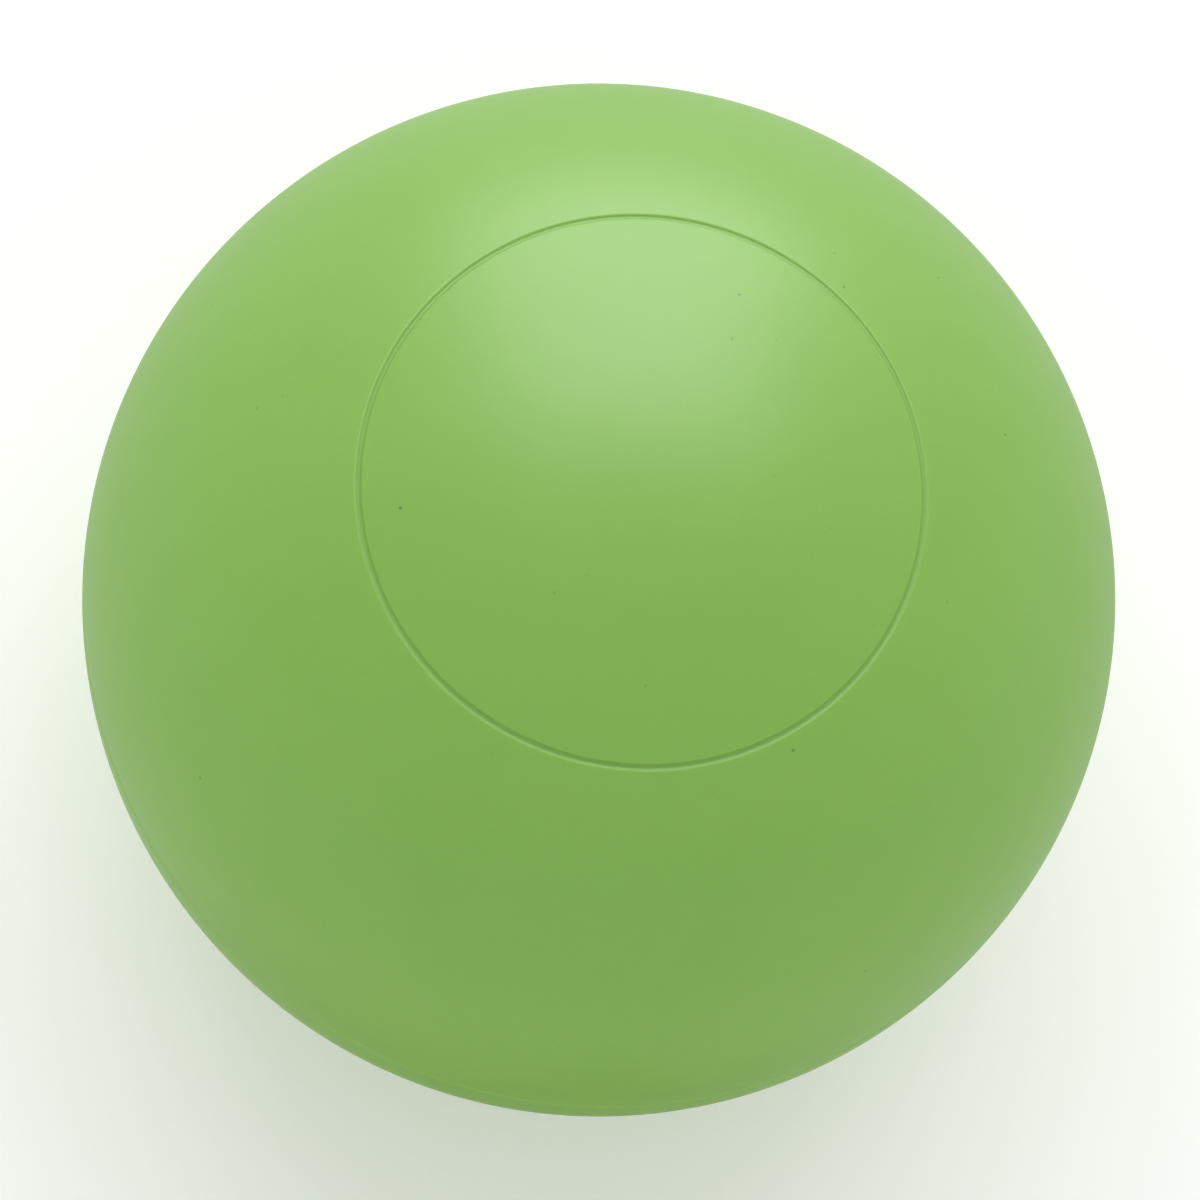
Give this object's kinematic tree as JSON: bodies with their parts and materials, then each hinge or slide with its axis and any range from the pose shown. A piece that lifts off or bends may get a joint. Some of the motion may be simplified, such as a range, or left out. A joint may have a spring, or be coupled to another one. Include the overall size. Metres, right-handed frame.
{
  "type": "lacrosse ball",
  "caption": "Solid moulded rubber ball for lacrosse, also used for massage: a smooth matte sphere with a shallow debossed ring on one face and a fine parting line around its middle.",
  "frame": {"origin": "the middle of the ball", "axes": "+Z along the mould axis, through the middle of the face that carries the ring. The cover halves meet in the plane z = 0. The ball is round about +Z, so +X and +Y are any pair in that plane"},
  "size_m": [0.0634, 0.0634, 0.0636],
  "materials": {
    "cover_rubber": "matte apple-green moulded rubber",
    "core_rubber": "matte grey-green moulded rubber"
  },
  "bodies": {
    "root": {"core": "core_rubber", "ringed_cover": "cover_rubber", "plain_cover": "cover_rubber"}
  },
  "joints": []
}
